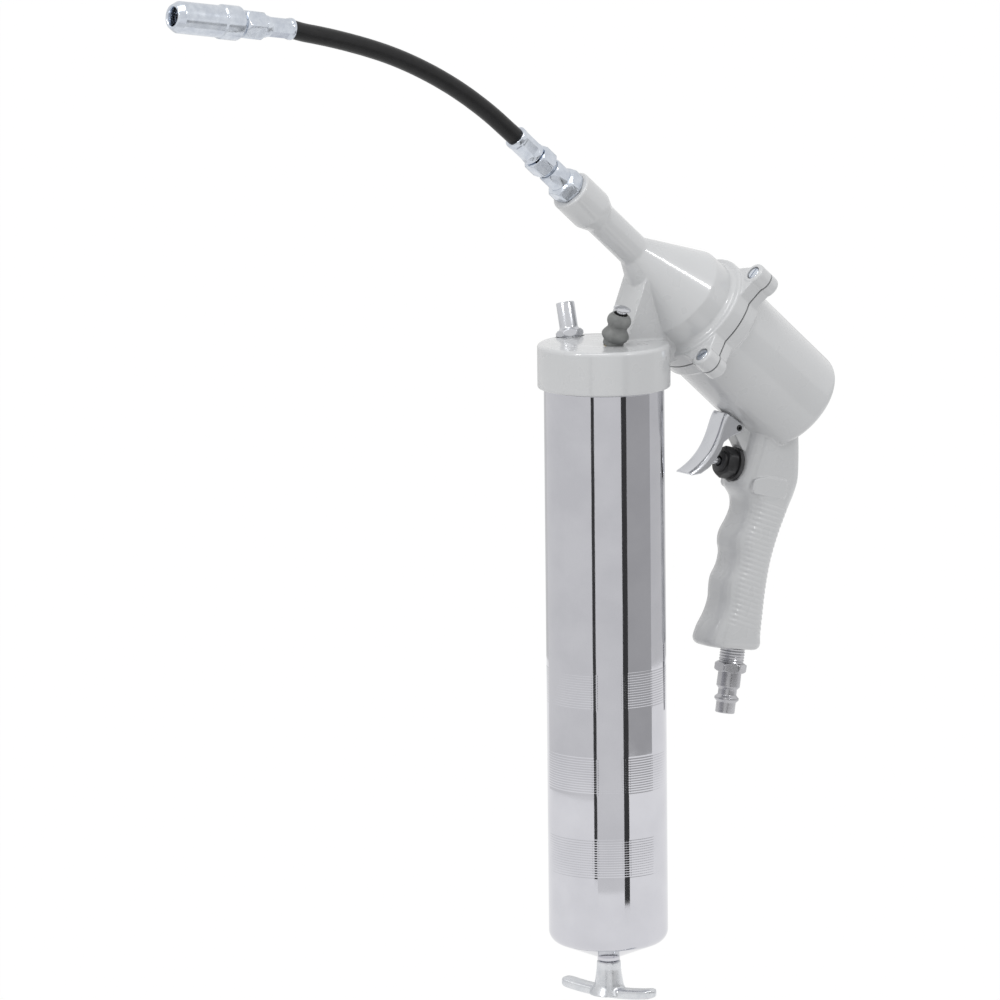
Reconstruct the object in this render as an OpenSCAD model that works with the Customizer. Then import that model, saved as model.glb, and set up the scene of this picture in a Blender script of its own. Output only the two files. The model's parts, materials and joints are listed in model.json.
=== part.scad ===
// Air-operated grease gun: screw-on barrel, die-cast head, tilted air motor with pistol handle,
// and a short steel-ended hose with a grease coupler.
// Millimetres. +Z runs up the barrel axis. The origin is on that axis, where the barrel's outside
// ends under the head. -X points to the hose, +X to the pistol handle, and Y = 0 is the mid-plane.

/* [Barrel] */
// Outside diameter of the barrel
barrel_d = 57; // [56:0.5:58]
// Length of the barrel's straight outside
barrel_len = 262; // [220:1:300]
// Wall thickness of the barrel
barrel_wall = 1.2; // [1:0.1:1.4]
// Diameter of the plunger rod
rod_d = 8; // [7:0.5:8]
// Wire diameter of the follower spring
follower_wire = 2.6; // [2:0.1:3]
// Number of turns of the follower spring
follower_turns = 15; // [10:1:18]

/* [Head] */
// Outside diameter of the cap that the barrel screws into
cap_d = 63; // [62:0.5:65]
// Height of the cap
cap_h = 22; // [21:0.5:24]
// Thickness of the pillar between the cap and the pump nose
pillar_w = 18.5; // [16:0.5:20]

/* [Air motor] */
// Angle of the motor axis above the horizontal
motor_tilt = 41.7; // [41:0.1:42.4]
// Outside diameter of the motor cylinder
motor_d = 54; // [53:0.5:55]
// Bore of the motor cylinder
motor_bore = 45; // [43:0.5:45]
// Length of the rear casting behind the joint face
motor_len = 71; // [70:0.5:72]
// Diameter of the two meeting flanges
flange_d = 57.6; // [56:0.2:58]
// Radius of the screw circle through the ears
ear_circle = 35.5; // [35:0.5:36]
// Diameter of the pump plunger
plunger_d = 8; // [7:0.5:8]

/* [Handle] */
// Width of the pistol handle
handle_w = 25; // [24:0.5:27]
// Outside width of the trigger
trigger_w = 12.4; // [12:0.2:13]
// Thickness of the trigger's sheet
trigger_t = 1.6; // [1.4:0.1:1.8]

/* [Hose] */
// Outside diameter of the hose
hose_d = 8.6; // [8:0.1:9]
// Outside diameter of the grease coupler's body
coupler_d = 14.8; // [14:0.1:15]

/* [Hidden] */
$fn = 48;

// Clearances
fit_gap = 0.05;        // radial running clearance of a shaft in its hole
face_gap = 0.1;        // gap between faces that only meet

// Barrel
barrel_r = barrel_d / 2;
bore_r = barrel_r - barrel_wall;
thread_r = barrel_r - 0.4;      // barrel spigot inside the cap
thread_len = 11.1;              // engagement of the barrel in the cap
corner_r = 6.5;                 // radius between the side and the end cone
cone_angle = 22;                // slope of the barrel's end cone
neck_r = 5.4;
neck_len = 1.4;                 // straight neck below the cone
rod_r = rod_d / 2;
corner_z = -barrel_len;                                  // centre height of the corner arc
corner_x = barrel_r - corner_r;
cone_drop = (corner_x + corner_r * sin(cone_angle) - neck_r) * tan(cone_angle);
cone_z = corner_z - corner_r * cos(cone_angle) - cone_drop;  // height where the cone meets the neck
neck_z = cone_z - neck_len;                              // lowest point of the barrel

// Follower and plunger
cup_top = -1;
cup_floor = 4;                  // thickness of the cup's disc
plate_t = 2;
plate_z = cup_top - cup_floor - plate_t;                 // underside of the plate
spring_seat_z = corner_z - 4.2;                          // height of the spring's lower end
tee_top = neck_z - 0.5;
tee_stem_len = 13.1;
tee_half = 26.9;                // half length of the tee bar
tee_w = 8.4;
tee_t = 5;
tee_bow = 2.5;                  // rise of the tee bar's tips
tee_turn_at_rest = -70.5;       // direction of the bar from +X

// Head
cap_r = cap_d / 2;
cap_rim = 0.3;                  // height of the cap's lower rim above the origin
cap_round = 1.8;                // radius of the cap's upper edge
seat_z = thread_len + 1.6;      // face that the barrel gasket seals on

// Motor frame: its origin is on the joint, +Z points at the nozzle, +X upwards
joint_x = 58.5;
joint_z = 27.1;
motor_r = motor_d / 2;
motor_bore_r = motor_bore / 2;
flange_r = flange_d / 2;
plunger_r = plunger_d / 2;
motor_floor = motor_len - 7;    // depth of the motor bore
head_face = 1;                  // rear face of the head casting
motor_face = 0.2;               // front face of the motor casting
ear_angles = [45, 130, -130, -45];
ear_r = 5.5;
front_ear = 8;                  // front face of the ears on the head casting
rear_ear = -5.5;                // rear face of the ears on the motor casting
web_r = 22;                     // radius in the flange where the ear webs start
web_half = 13;                  // half width of an ear web there
screw_r = 2.5;
screw_head_r = 3.2;
screw_seat = front_ear - 2.4;   // bottom of the counterbores that the screw heads sit in
tube_r = 7.95;
collar_r = 10.4;
collar_top = 103;
shoulder_z = 21.5;              // top of the cylindrical shoulder under the cone
tube_z = 54.8;                  // top of the cone
cone_base_r = 24.3;
adapter_r = 6;
piston_rest = -63.2;            // rear face of the piston at rest
piston_t = 8;
plunger_tip = 41;
pocket_top = 40;                // end of the plunger seal pocket
check_z = 76;                   // seat of the outlet ball
ball_r = 3.1;
hose_start = 145;               // where the hose leaves its ferrule

// Handle outline, as [height, front x, rear x]
stations = [
    [-25, 84, 107.5],
    [-37, 79.3, 108.2],
    [-54.5, 74.2, 107.6],
    [-65, 76.8, 103],
    [-80, 69.5, 96],
    [-88, 69.8, 92.6],
    [-103, 64, 88.2],
    [-138, 53.6, 84]
];
front_round = 10;               // corner radius at the front of the handle
rear_round = 6;

// Plug frame: origin on the handle's foot, +Z down out of the handle
plug_x = 74.6;
plug_z = -134;
plug_tilt = 9.3;

// Valve frame: origin on the handle's front, +Z forward out of the handle
valve_x = 76.3;
valve_z = -45.2;
valve_rise = 16;                // angle of the valve axis above the horizontal
valve_bore_r = 6;
valve_depth = 24;
stem_r = 2;
stem_tip = 19.7;                // how far the stem reaches out of the handle's front

// Trigger
pivot = [74.6, -26.6];          // trigger pin, as [x, z]
pin_r = 1.5;
eye_r = 2.5;
lug_w = trigger_w - 2 * trigger_t - 0.8;
trigger_curve = [[67.6, -18.4], [63, -23], [64, -37], [45.6, -45.2]];   // cubic down the web's front

// Coupler frame: origin at the hose end, +Z out of the mouth
coupler_x = -173.4;
coupler_z = 183.4;
coupler_rise = 9.4;             // angle of the coupler axis above the horizontal
coupler_r = coupler_d / 2;
coupler_len = 65.3;
ferrule_len = 16.5;
mouth_r = 4.3;

// Fittings on the cap
bleeder_at = [-3.3, -12.1, 22];
bleeder_lean = [18, 5, 0];
filler_at = [-2.7, 23.6, 21.2];
filler_lean = [-14, 0, 0];
filler_len = 16.9;

// Hose route in the mid-plane, as [x, z]
hose_route = [
    [-55, 128], [-62, 133.9], [-70, 140], [-80, 146.9], [-90, 153], [-100, 158.4], [-110, 163.2],
    [-120, 167.4], [-130, 171], [-140, 174.2], [-150, 177.1], [-160, 179.7], [-167, 181.4]
];
hose_reach = hose_start + 0.02;
hose_path = concat(
    [[joint_x - hose_reach * cos(motor_tilt), joint_z + hose_reach * sin(motor_tilt)]],
    hose_route,
    [[coupler_x, coupler_z]]);

// ---- helpers ----

// Points of an arc in a profile
function arc(cx, cy, r, a0, a1, n) =
    [for (i = [0:n]) [cx + r * cos(a0 + (a1 - a0) * i / n), cy + r * sin(a0 + (a1 - a0) * i / n)]];

// Point of a cubic curve
function cubic(p, t) =
    pow(1 - t, 3) * p[0] + 3 * t * pow(1 - t, 2) * p[1] + 3 * t * t * (1 - t) * p[2] + t * t * t * p[3];

// Point shifted from a cubic curve along its left normal
function cubic_side(p, t, side) =
    let (d = cubic(p, t + 0.01) - cubic(p, t - 0.01))
    cubic(p, t) + side * [-d[1], d[0]] / norm(d);

// Hexagonal prism, measured across its flats
module hex_bar(across, h) {
    cylinder(d = across / cos(30), h = h, $fn = 6);
}

module ring(ro, ri, h) {
    difference() {
        cylinder(r = ro, h = h);
        translate([0, 0, -1])
            cylinder(r = ri, h = h + 2);
    }
}

module motor_frame() {
    translate([joint_x, 0, joint_z])
        rotate([0, motor_tilt - 90, 0])
            children();
}

module plug_frame() {
    translate([plug_x, 0, plug_z])
        rotate([0, 180 + plug_tilt, 0])
            children();
}

module valve_frame() {
    translate([valve_x, 0, valve_z])
        rotate([0, valve_rise - 90, 0])
            children();
}

module coupler_frame() {
    translate([coupler_x, 0, coupler_z])
        rotate([0, coupler_rise - 90, 0])
            children();
}

module bleeder_frame() {
    translate(bleeder_at)
        rotate(bleeder_lean)
            children();
}

module filler_frame() {
    translate(filler_at)
        rotate(filler_lean)
            children();
}

// Extrude a profile drawn in x and z, centred on the mid-plane
module slab(w, points) {
    rotate([90, 0, 0])
        linear_extrude(w, center = true)
            polygon(points);
}

// Round wire wound into an open helix between two heights
module coil(r, wire_r, z0, z1, turns) {
    sides = 6;
    steps = 12 * turns;
    z_low = z0 + wire_r;
    rise = z1 - z0 - 2 * wire_r;
    points = [for (i = [0:steps], k = [0:sides - 1])
        let (a = 360 * turns * i / steps, b = 360 * k / sides, from_axis = r + wire_r * cos(b))
        [from_axis * cos(a), from_axis * sin(a), z_low + rise * i / steps + wire_r * sin(b)]];
    walls = [for (i = [0:steps - 1], k = [0:sides - 1])
        [i * sides + k, i * sides + (k + 1) % sides, (i + 1) * sides + (k + 1) % sides, (i + 1) * sides + k]];
    tri = [for (w = walls) each [[w[0], w[2], w[1]], [w[0], w[3], w[2]]]];
    start = [[for (k = [0:sides - 1]) k]];
    end = [[for (k = [sides - 1:-1:0]) steps * sides + k]];
    polyhedron(points = points, faces = concat(tri, start, end));
}

// ---- barrel ----

module barrel() {
    inner_r = corner_r - barrel_wall;
    slope = 90 - cone_angle;
    hole_r = rod_r + fit_gap;
    outer = concat(
        [[thread_r, thread_len], [thread_r, 0], [barrel_r, 0]],
        arc(corner_x, corner_z, corner_r, 0, -slope, 8),
        [[neck_r, cone_z], [neck_r, neck_z]]);
    cone_inside_z = cone_z + (neck_r - hole_r) * tan(cone_angle) + barrel_wall / cos(cone_angle);
    inner = concat(
        [[hole_r, neck_z], [hole_r, cone_inside_z]],
        arc(corner_x, corner_z, inner_r, -slope, 0, 8),
        [[bore_r, thread_len]]);
    color("silver")
        rotate_extrude($fn = 96)
            polygon(concat(outer, inner));
}

module barrel_gasket() {
    color("dimgray")
        translate([0, 0, thread_len + face_gap])
            ring(thread_r - 0.1, bore_r - 2.8, seat_z - thread_len - 2 * face_gap);
}

module follower_cup() {
    lip_r = bore_r - 0.1;
    lip = 2;
    skirt = 12;
    color("dimgray")
        difference() {
            rotate_extrude($fn = 96)
                polygon([
                    [0, cup_top], [lip_r - 1, cup_top], [lip_r, cup_top - 1], [lip_r, cup_top - skirt],
                    [lip_r - lip, cup_top - skirt], [lip_r - lip - 1, cup_top - cup_floor],
                    [0, cup_top - cup_floor]
                ]);
            translate([0, 0, cup_top - skirt])
                cylinder(r = rod_r + fit_gap, h = 2 * skirt);
        }
}

module follower_plate() {
    plate_r = bore_r - 4.5;
    color("gray")
        translate([0, 0, plate_z])
            ring(plate_r, rod_r + fit_gap, plate_t);
}

module follower_spring() {
    color("gray")
        coil(20, follower_wire / 2, spring_seat_z, plate_z - face_gap, follower_turns);
}

module plunger_rod() {
    stop_r = rod_r + 2.5;
    stop_t = 3;
    color("silver") {
        translate([0, 0, tee_top - tee_stem_len + 4])
            cylinder(r = rod_r, h = cup_top + 4 - tee_top + tee_stem_len - 4);
        translate([0, 0, plate_z - face_gap - stop_t])
            cylinder(r = stop_r, h = stop_t);
    }
}

module rod_nut() {
    color("gray")
        translate([0, 0, cup_top + face_gap])
            difference() {
                hex_bar(13, 4);
                translate([0, 0, -1])
                    cylinder(r = rod_r, h = 6);
            }
}

module tee_handle() {
    bow_r = (tee_half * tee_half + tee_bow * tee_bow) / (2 * tee_bow);
    sweep = asin(tee_half / bow_r);
    bar_top = tee_top - tee_stem_len;
    bow_z = bar_top + bow_r;
    color("lightgray")
        difference() {
            union() {
                translate([0, 0, bar_top - 1])
                    cylinder(r1 = 7, r2 = 5.7, h = tee_stem_len + 1);
                rotate([0, 0, tee_turn_at_rest])
                    intersection() {
                        slab(tee_w, concat(
                            arc(0, bow_z, bow_r, -90 - sweep, -90 + sweep, 12),
                            arc(0, bow_z, bow_r + tee_t, -90 + sweep, -90 - sweep, 12)));
                        union() {
                            translate([tee_w / 2 - tee_half, -tee_w / 2, bar_top - 2 * tee_t])
                                cube([2 * tee_half - tee_w, tee_w, 4 * tee_t]);
                            for (side = [-1, 1])
                                translate([side * (tee_half - tee_w / 2), 0, bar_top - 2 * tee_t])
                                    cylinder(d = tee_w, h = 4 * tee_t);
                        }
                    }
            }
            translate([0, 0, bar_top + 4])
                cylinder(r = rod_r, h = tee_stem_len);
        }
}

// ---- head ----

// Four bolt ears, each with a web that widens into the flange
module ears(h, z0) {
    web_end = ear_circle - 1;
    for (a = ear_angles)
        rotate([0, 0, a])
            translate([0, 0, z0]) {
                translate([ear_circle, 0, 0])
                    cylinder(r = ear_r, h = h);
                linear_extrude(h)
                    polygon([
                        [web_r, -web_half], [web_end, -ear_r], [web_end, ear_r], [web_r, web_half]
                    ]);
            }
}

module ear_holes(r, z0, h) {
    for (a = ear_angles)
        rotate([0, 0, a])
            translate([ear_circle, 0, z0])
                cylinder(r = r, h = h, $fn = 24);
}

module head_solid() {
    rotate_extrude($fn = 96)
        polygon(concat(
            [[0, cap_rim], [cap_r - 0.8, cap_rim], [cap_r, cap_rim + 0.8]],
            arc(cap_r - cap_round, cap_h - cap_round - 1, cap_round, 0, 75, 4),
            [[cap_r - 10.5, cap_h], [0, cap_h]]));
    slab(pillar_w, [
        [6.9, cap_h - 4], [6.9, cap_h], [10.1, 30], [17.9, 49.5], [21.5, 58.5], [40, 45], [42, 17],
        [35.4, 10.2], [31, 9], [25, 12]
    ]);
    motor_frame() {
        rotate_extrude($fn = 96)
            polygon([
                [0, head_face], [flange_r, head_face], [flange_r, 8.3], [flange_r - 1, 9.1],
                [cone_base_r + 1.5, 9.5], [cone_base_r + 0.4, 11], [cone_base_r, shoulder_z],
                [tube_r, tube_z], [tube_r, 81], [collar_r, 87], [collar_r, collar_top - 1],
                [collar_r - 1, collar_top], [0, collar_top]
            ]);
        ears(front_ear - head_face, head_face);
    }
}

module head_casting() {
    color("gainsboro")
        difference() {
            head_solid();
            // barrel socket, gasket seat and grease chamber
            translate([0, 0, -1])
                cylinder(r = thread_r + fit_gap, h = seat_z + 1, $fn = 96);
            translate([0, 0, seat_z - 0.01])
                cylinder(r1 = 24, r2 = 20, h = 4);
            // grease passage up through the pillar into the pump bore
            translate([8, 0, 10])
                rotate([0, 20, 0])
                    cylinder(r = 3, h = 50.5);
            motor_frame() {
                // spring chamber
                translate([0, 0, -1])
                    cylinder(r = 19.5, h = 17);
                translate([0, 0, 15])
                    cylinder(r = 12, h = 19);
                // seal pocket, pump bore, check chamber and outlet thread
                translate([0, 0, 33])
                    cylinder(r = 6.5, h = pocket_top - 33);
                translate([0, 0, pocket_top - 1])
                    cylinder(r = plunger_r + fit_gap, h = check_z - pocket_top + 1);
                translate([0, 0, check_z])
                    cylinder(r = 4.4, h = 13);
                translate([0, 0, check_z + 12])
                    cylinder(r = adapter_r, h = 20);
                ear_holes(screw_r + 0.1, -1, 20);
                ear_holes(screw_head_r + 0.3, screw_seat, 20);
            }
            bleeder_frame()
                translate([0, 0, -12])
                    cylinder(r = 4, h = 20);
            filler_frame()
                translate([0, 0, -12])
                    cylinder(r = 4, h = 20);
            // flat seats for the two fittings
            bleeder_frame()
                cylinder(r = 6, h = 6);
            filler_frame()
                cylinder(r = 7.2, h = 8);
        }
}

module motor_gasket() {
    color("dimgray")
        motor_frame()
            translate([0, 0, motor_face])
                ring(flange_r - 1, motor_bore_r + 0.5, head_face - motor_face - 0.05);
}

module flange_screws() {
    color("darkgray")
        motor_frame()
            for (a = ear_angles)
                rotate([0, 0, a])
                    translate([ear_circle, 0, 0])
                        difference() {
                            union() {
                                translate([0, 0, rear_ear + 1.6])
                                    cylinder(r = screw_r, h = screw_seat - rear_ear, $fn = 24);
                                translate([0, 0, screw_seat + face_gap])
                                    cylinder(r = screw_head_r, h = 2.1, $fn = 24);
                            }
                            translate([-5, -0.55, screw_seat + 1.1])
                                cube([10, 1.1, 3]);
                        }
}

// ---- motor casting with the pistol handle ----

module handle_slice(a, b) {
    hull()
        for (s = [a, b])
            translate([0, 0, s[0]])
                for (side = [-1, 1]) {
                    translate([s[1] + front_round, side * (handle_w / 2 - front_round), 0])
                        cylinder(r = front_round, h = 0.01, $fn = 28);
                    translate([s[2] - rear_round, side * (handle_w / 2 - rear_round), 0])
                        cylinder(r = rear_round, h = 0.01, $fn = 28);
                }
}

module motor_solid() {
    motor_frame() {
        rotate_extrude($fn = 96)
            polygon(concat(
                [[0, -motor_len]],
                arc(motor_r - 4, -motor_len + 4, 4, -90, 0, 5),
                [[motor_r, -7.8], [flange_r, -6], [flange_r, motor_face], [0, motor_face]]));
        ears(motor_face - rear_ear, rear_ear);
    }
    for (i = [0:len(stations) - 2])
        handle_slice(stations[i], stations[i + 1]);
    // lug that carries the trigger
    slab(lug_w, concat(
        [[88, -42], [78, -38]],
        arc(pivot[0], pivot[1], 4.2, 260, 150, 6),
        [[72, -17.5], [92, -30]]));
}

module motor_casting() {
    color("gainsboro")
        difference() {
            motor_solid();
            motor_frame() {
                translate([0, 0, -motor_floor])
                    cylinder(r = motor_bore_r, h = motor_floor + 1, $fn = 96);
                ear_holes(screw_r, rear_ear + 1.5, 10);
            }
            // foot, air inlet thread and air passage
            plug_frame() {
                translate([-40, -20, 0])
                    cube([80, 40, 20]);
                translate([0, 0, -12])
                    cylinder(r = 6, h = 13);
                translate([0, 0, -88])
                    cylinder(r = 3.5, h = 77);
            }
            // valve bore and spotface
            valve_frame() {
                translate([0, 0, -valve_depth])
                    cylinder(r = valve_bore_r, h = valve_depth + 1);
                cylinder(r = 8.8, h = 22);
            }
            // port from the valve to the cylinder
            translate([94.5, 0, -50])
                cylinder(r = 2.5, h = 20);
            // trigger pin hole
            translate([pivot[0], 0, pivot[1]])
                rotate([90, 0, 0])
                    cylinder(r = pin_r, h = 40, center = true, $fn = 24);
        }
}

// ---- pump ----

module air_piston() {
    color("silver")
        motor_frame()
            translate([0, 0, piston_rest])
                difference() {
                    cylinder(r = motor_bore_r - 0.1, h = piston_t, $fn = 96);
                    translate([0, 0, 2.5])
                        ring(motor_bore_r + 1, motor_bore_r - 3, 3);
                    translate([0, 0, -1])
                        cylinder(r = 3, h = piston_t + 2);
                }
}

module piston_seal() {
    color("black")
        motor_frame()
            translate([0, 0, piston_rest + 2.6])
                ring(motor_bore_r - 0.06, motor_bore_r - 2.95, 2.8);
}

module piston_nut() {
    color("gray")
        motor_frame()
            translate([0, 0, piston_rest + piston_t + 0.01])
                difference() {
                    hex_bar(11, 4);
                    translate([0, 0, -1])
                        cylinder(r = 3, h = 6);
                }
}

module pump_plunger() {
    neck_top = piston_rest + piston_t + 4.5;
    color("silver")
        motor_frame() {
            translate([0, 0, piston_rest])
                cylinder(r = 3, h = neck_top - piston_rest + 1);
            translate([0, 0, neck_top])
                cylinder(r = plunger_r, h = plunger_tip - neck_top);
        }
}

module pump_seal() {
    color("black")
        motor_frame()
            translate([0, 0, pocket_top - 5.4])
                ring(6.45, plunger_r + fit_gap, 5.2);
}

module seal_retainer() {
    color("gray")
        motor_frame()
            translate([0, 0, 32])
                ring(11.9, plunger_r + fit_gap, 2);
}

module return_spring() {
    color("gray")
        motor_frame()
            coil(9.5, 1, piston_rest + piston_t + face_gap, 31.9, 10);
}

module outlet_ball() {
    color("silver")
        motor_frame()
            translate([0, 0, check_z + ball_r + 0.05])
                sphere(r = ball_r);
}

module outlet_spring() {
    color("gray")
        motor_frame()
            coil(2.4, 0.4, check_z + 2 * ball_r - 0.4, check_z + 11.9, 5);
}

module nozzle_adapter() {
    color("silver")
        motor_frame()
            difference() {
                union() {
                    translate([0, 0, check_z + 12])
                        cylinder(r = adapter_r - 0.02, h = collar_top - check_z - 11);
                    translate([0, 0, collar_top + 0.05])
                        intersection() {
                            hex_bar(15, 7.5);
                            cylinder(r1 = 13.5, r2 = 7.2, h = 7.5);
                        }
                    translate([0, 0, collar_top + 7])
                        cylinder(r = 6.1, h = 9.4);
                }
                translate([0, 0, check_z])
                    cylinder(r = 2, h = 60);
                translate([0, 0, 110])
                    cylinder(r = 4.9, h = 20);
            }
}

module hose_fitting() {
    color("silver")
        motor_frame()
            difference() {
                union() {
                    translate([0, 0, 110.5])
                        cylinder(r = 4.85, h = 11);
                    translate([0, 0, 121])
                        intersection() {
                            hex_bar(12.4, 9.4);
                            cylinder(r1 = 7.0, r2 = 12, h = 9.4);
                        }
                    translate([0, 0, 130])
                        cylinder(r = 2.6, h = 14);
                }
                translate([0, 0, 100])
                    cylinder(r = 1.6, h = 60);
            }
}

module hose_ferrule() {
    color("silver")
        motor_frame()
            translate([0, 0, 130.45])
                ring(5.7, 2.62, hose_start - 130.45);
}

// ---- hose ----

module hose() {
    sides = 12;
    last = len(hose_path) - 1;
    rings = [for (i = [0:last])
        let (a = hose_path[max(i - 1, 0)], b = hose_path[min(i + 1, last)],
             d = i == 0 ? [-cos(motor_tilt), sin(motor_tilt)]
                : i == last ? [-cos(coupler_rise), sin(coupler_rise)] : (b - a) / norm(b - a))
        [for (k = [0:sides - 1])
            let (t = 360 * (k + 0.5) / sides, u = hose_d / 2 * cos(t), v = hose_d / 2 * sin(t))
            [hose_path[i][0] - d[1] * u, v, hose_path[i][1] + d[0] * u]]];
    points = [for (r = rings) each r];
    walls = [for (i = [0:last - 1], k = [0:sides - 1])
        [i * sides + k, i * sides + (k + 1) % sides, (i + 1) * sides + (k + 1) % sides, (i + 1) * sides + k]];
    tri = [for (w = walls) each [[w[0], w[1], w[2]], [w[0], w[2], w[3]]]];
    start = [[for (k = [sides - 1:-1:0]) k]];
    end = [[for (k = [0:sides - 1]) last * sides + k]];
    color("#1a1a1a")
        polyhedron(points = points, faces = concat(tri, start, end));
}

// ---- grease coupler ----

module coupler_ferrule() {
    color("silver")
        coupler_frame()
            translate([0, 0, 0.02])
                ring(5.1, 2.62, ferrule_len);
}

module coupler_stem() {
    color("silver")
        coupler_frame()
            difference() {
                union() {
                    translate([0, 0, 2])
                        cylinder(r = 2.6, h = ferrule_len);
                    translate([0, 0, ferrule_len + 0.05])
                        intersection() {
                            hex_bar(12.6, 12);
                            cylinder(r1 = 5.6, r2 = 11.6, h = 12);
                        }
                    translate([0, 0, 28])
                        cylinder(r = 4.9, h = 9);
                }
                translate([0, 0, 1])
                    cylinder(r = 1.6, h = 40);
            }
}

module coupler_body() {
    ring_z = 30.6;
    ring_len = 8.6;
    ring_r = coupler_r + 0.6;
    color("silver")
        coupler_frame()
            difference() {
                rotate_extrude($fn = 64)
                    polygon([
                        [0, 28.6], [coupler_r - 0.6, 28.6], [ring_r, ring_z], [ring_r, ring_z + ring_len],
                        [coupler_r, ring_z + ring_len + 0.6], [coupler_r, coupler_len - 2],
                        [coupler_r - 2, coupler_len], [0, coupler_len]
                    ]);
                translate([0, 0, 27])
                    cylinder(r = 4.95, h = 10.1);
                translate([0, 0, 36])
                    cylinder(r = 5.6, h = 19);
                translate([0, 0, 54])
                    cylinder(r1 = 5.6, r2 = mouth_r, h = 4.01);
                translate([0, 0, 57])
                    cylinder(r = mouth_r, h = 10);
            }
}

module coupler_jaws() {
    color("gray")
        coupler_frame()
            for (a = [0, 120, 240])
                rotate([0, 0, a])
                    translate([0, 0, 47.5])
                        rotate_extrude(angle = 114)
                            translate([3.4, 0, 0])
                                square([1.8, 7]);
}

module coupler_seal() {
    color("black")
        coupler_frame()
            translate([0, 0, 44.2])
                ring(5.4, 1.4, 3);
}

module coupler_spring() {
    color("gray")
        coupler_frame()
            coil(4.6, 0.5, 37.3, 44.1, 4);
}

// ---- fittings on the cap ----

module filler_nipple() {
    color("silver")
        filler_frame()
            difference() {
                union() {
                    translate([0, 0, -5])
                        cylinder(r = 3.97, h = 6);
                    translate([0, 0, 0.05])
                        hex_bar(11.4, 3.6);
                    cylinder(r = 4.35, h = filler_len);
                }
                translate([0, 0, -6])
                    cylinder(r = 1.6, h = filler_len + 7);
                translate([0, 0, 4])
                    cylinder(r = 2.6, h = filler_len);
            }
}

module filler_ball() {
    color("silver")
        filler_frame()
            translate([0, 0, filler_len - 2.8])
                sphere(r = 2.5);
}

module bleeder_body() {
    color("gold")
        bleeder_frame()
            difference() {
                union() {
                    translate([0, 0, -5])
                        cylinder(r = 3.97, h = 5);
                    translate([0, 0, -1])
                        cylinder(r = 3.9, h = 11);
                }
                translate([0, 0, -6])
                    cylinder(r = 1.55, h = 20);
                translate([0, 0, 1])
                    cylinder(r = 3, h = 12);
            }
}

module bleeder_boot() {
    color("#6b6f70")
        bleeder_frame()
            rotate_extrude()
                polygon(concat(
                    [[3.95, 0.05], [4.9, 0.05], [4.9, 2.5], [6.3, 4.2], [6.6, 5.2], [6.3, 6.2], [4.7, 8.2]],
                    arc(2.1, 12.6, 3.65, -48, 60, 8),
                    [[3.3, 16.3], [3.3, 15.6], [3.95, 14.6]]));
}

module bleeder_pin() {
    color("silver")
        bleeder_frame() {
            translate([0, 0, -5])
                cylinder(r = 1.5, h = 22);
            translate([0, 0, 6.5])
                cylinder(r = 2.9, h = 1);
            translate([0, 0, 16.4])
                cylinder(r = 2.2, h = 2);
            translate([0, 0, 18.2])
                intersection() {
                    cylinder(r = 4.2, h = 2);
                    translate([0, 0, -8])
                        sphere(r = 9.6);
                }
        }
}

module bleeder_spring() {
    color("gray")
        bleeder_frame()
            coil(2.35, 0.35, 1.05, 6.4, 4);
}

// ---- trigger and air valve ----

module trigger() {
    steps = 14;
    outside = [for (i = [0:steps]) cubic(trigger_curve, i / steps)];
    inside = [for (i = [0:steps]) cubic_side(trigger_curve, i / steps, trigger_t)];
    back = concat(
        [[46.2, -46.5], [51.8, -46.4], [57, -43.9], [61.5, -39.5], [64.1, -36.1], [65.4, -32.7],
            [69.5, -30.4]],
        arc(pivot[0], pivot[1], eye_r, -80, 60, 8));
    color("silver")
        difference() {
            slab(trigger_w, concat(outside, back));
            slab(trigger_w - 2 * trigger_t, concat(inside, [[46, -60], [95, -60], [95, -8], [69, -8]]));
            translate([pivot[0], 0, pivot[1]])
                rotate([90, 0, 0])
                    cylinder(r = pin_r + fit_gap, h = 40, center = true, $fn = 24);
        }
}

module trigger_pin() {
    color("black")
        translate([pivot[0], 0, pivot[1]])
            rotate([90, 0, 0])
                cylinder(r = pin_r, h = trigger_w + 0.8, center = true, $fn = 24);
}

module valve_nut() {
    color("#222222")
        valve_frame()
            difference() {
                union() {
                    translate([0, 0, -9])
                        cylinder(r = valve_bore_r - 0.02, h = 9.5);
                    translate([0, 0, 0.05])
                        cylinder(r = 8.15, h = 2.4);
                    translate([0, 0, 2])
                        rotate([0, 0, 30])
                            hex_bar(13.6, 8);
                }
                translate([0, 0, -12])
                    cylinder(r = stem_r + fit_gap, h = 24);
                translate([0, 0, -10])
                    cylinder(r = 3.6, h = 4);
            }
}

module valve_stem() {
    color("silver")
        valve_frame()
            difference() {
                union() {
                    intersection() {
                        translate([0, 0, -15])
                            cylinder(r = stem_r, h = stem_tip + 15);
                        union() {
                            translate([0, 0, stem_tip - stem_r - 0.2])
                                sphere(r = stem_r + 0.2);
                            translate([0, 0, -16])
                                cylinder(r = stem_r + 1, h = stem_tip + 16 - stem_r - 0.2);
                        }
                    }
                    translate([0, 0, -13])
                        cylinder(r = 4.4, h = 2);
                }
                translate([0, 0, -8.4])
                    ring(stem_r + 1, stem_r - 0.5, 1.4);
            }
}

module stem_seal() {
    color("black")
        valve_frame()
            translate([0, 0, -8.35])
                ring(3.5, stem_r - 0.48, 1.3);
}

module valve_spring() {
    color("gray")
        valve_frame()
            coil(3.2, 0.5, -valve_depth + 0.1, -13.1, 4);
}

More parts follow.
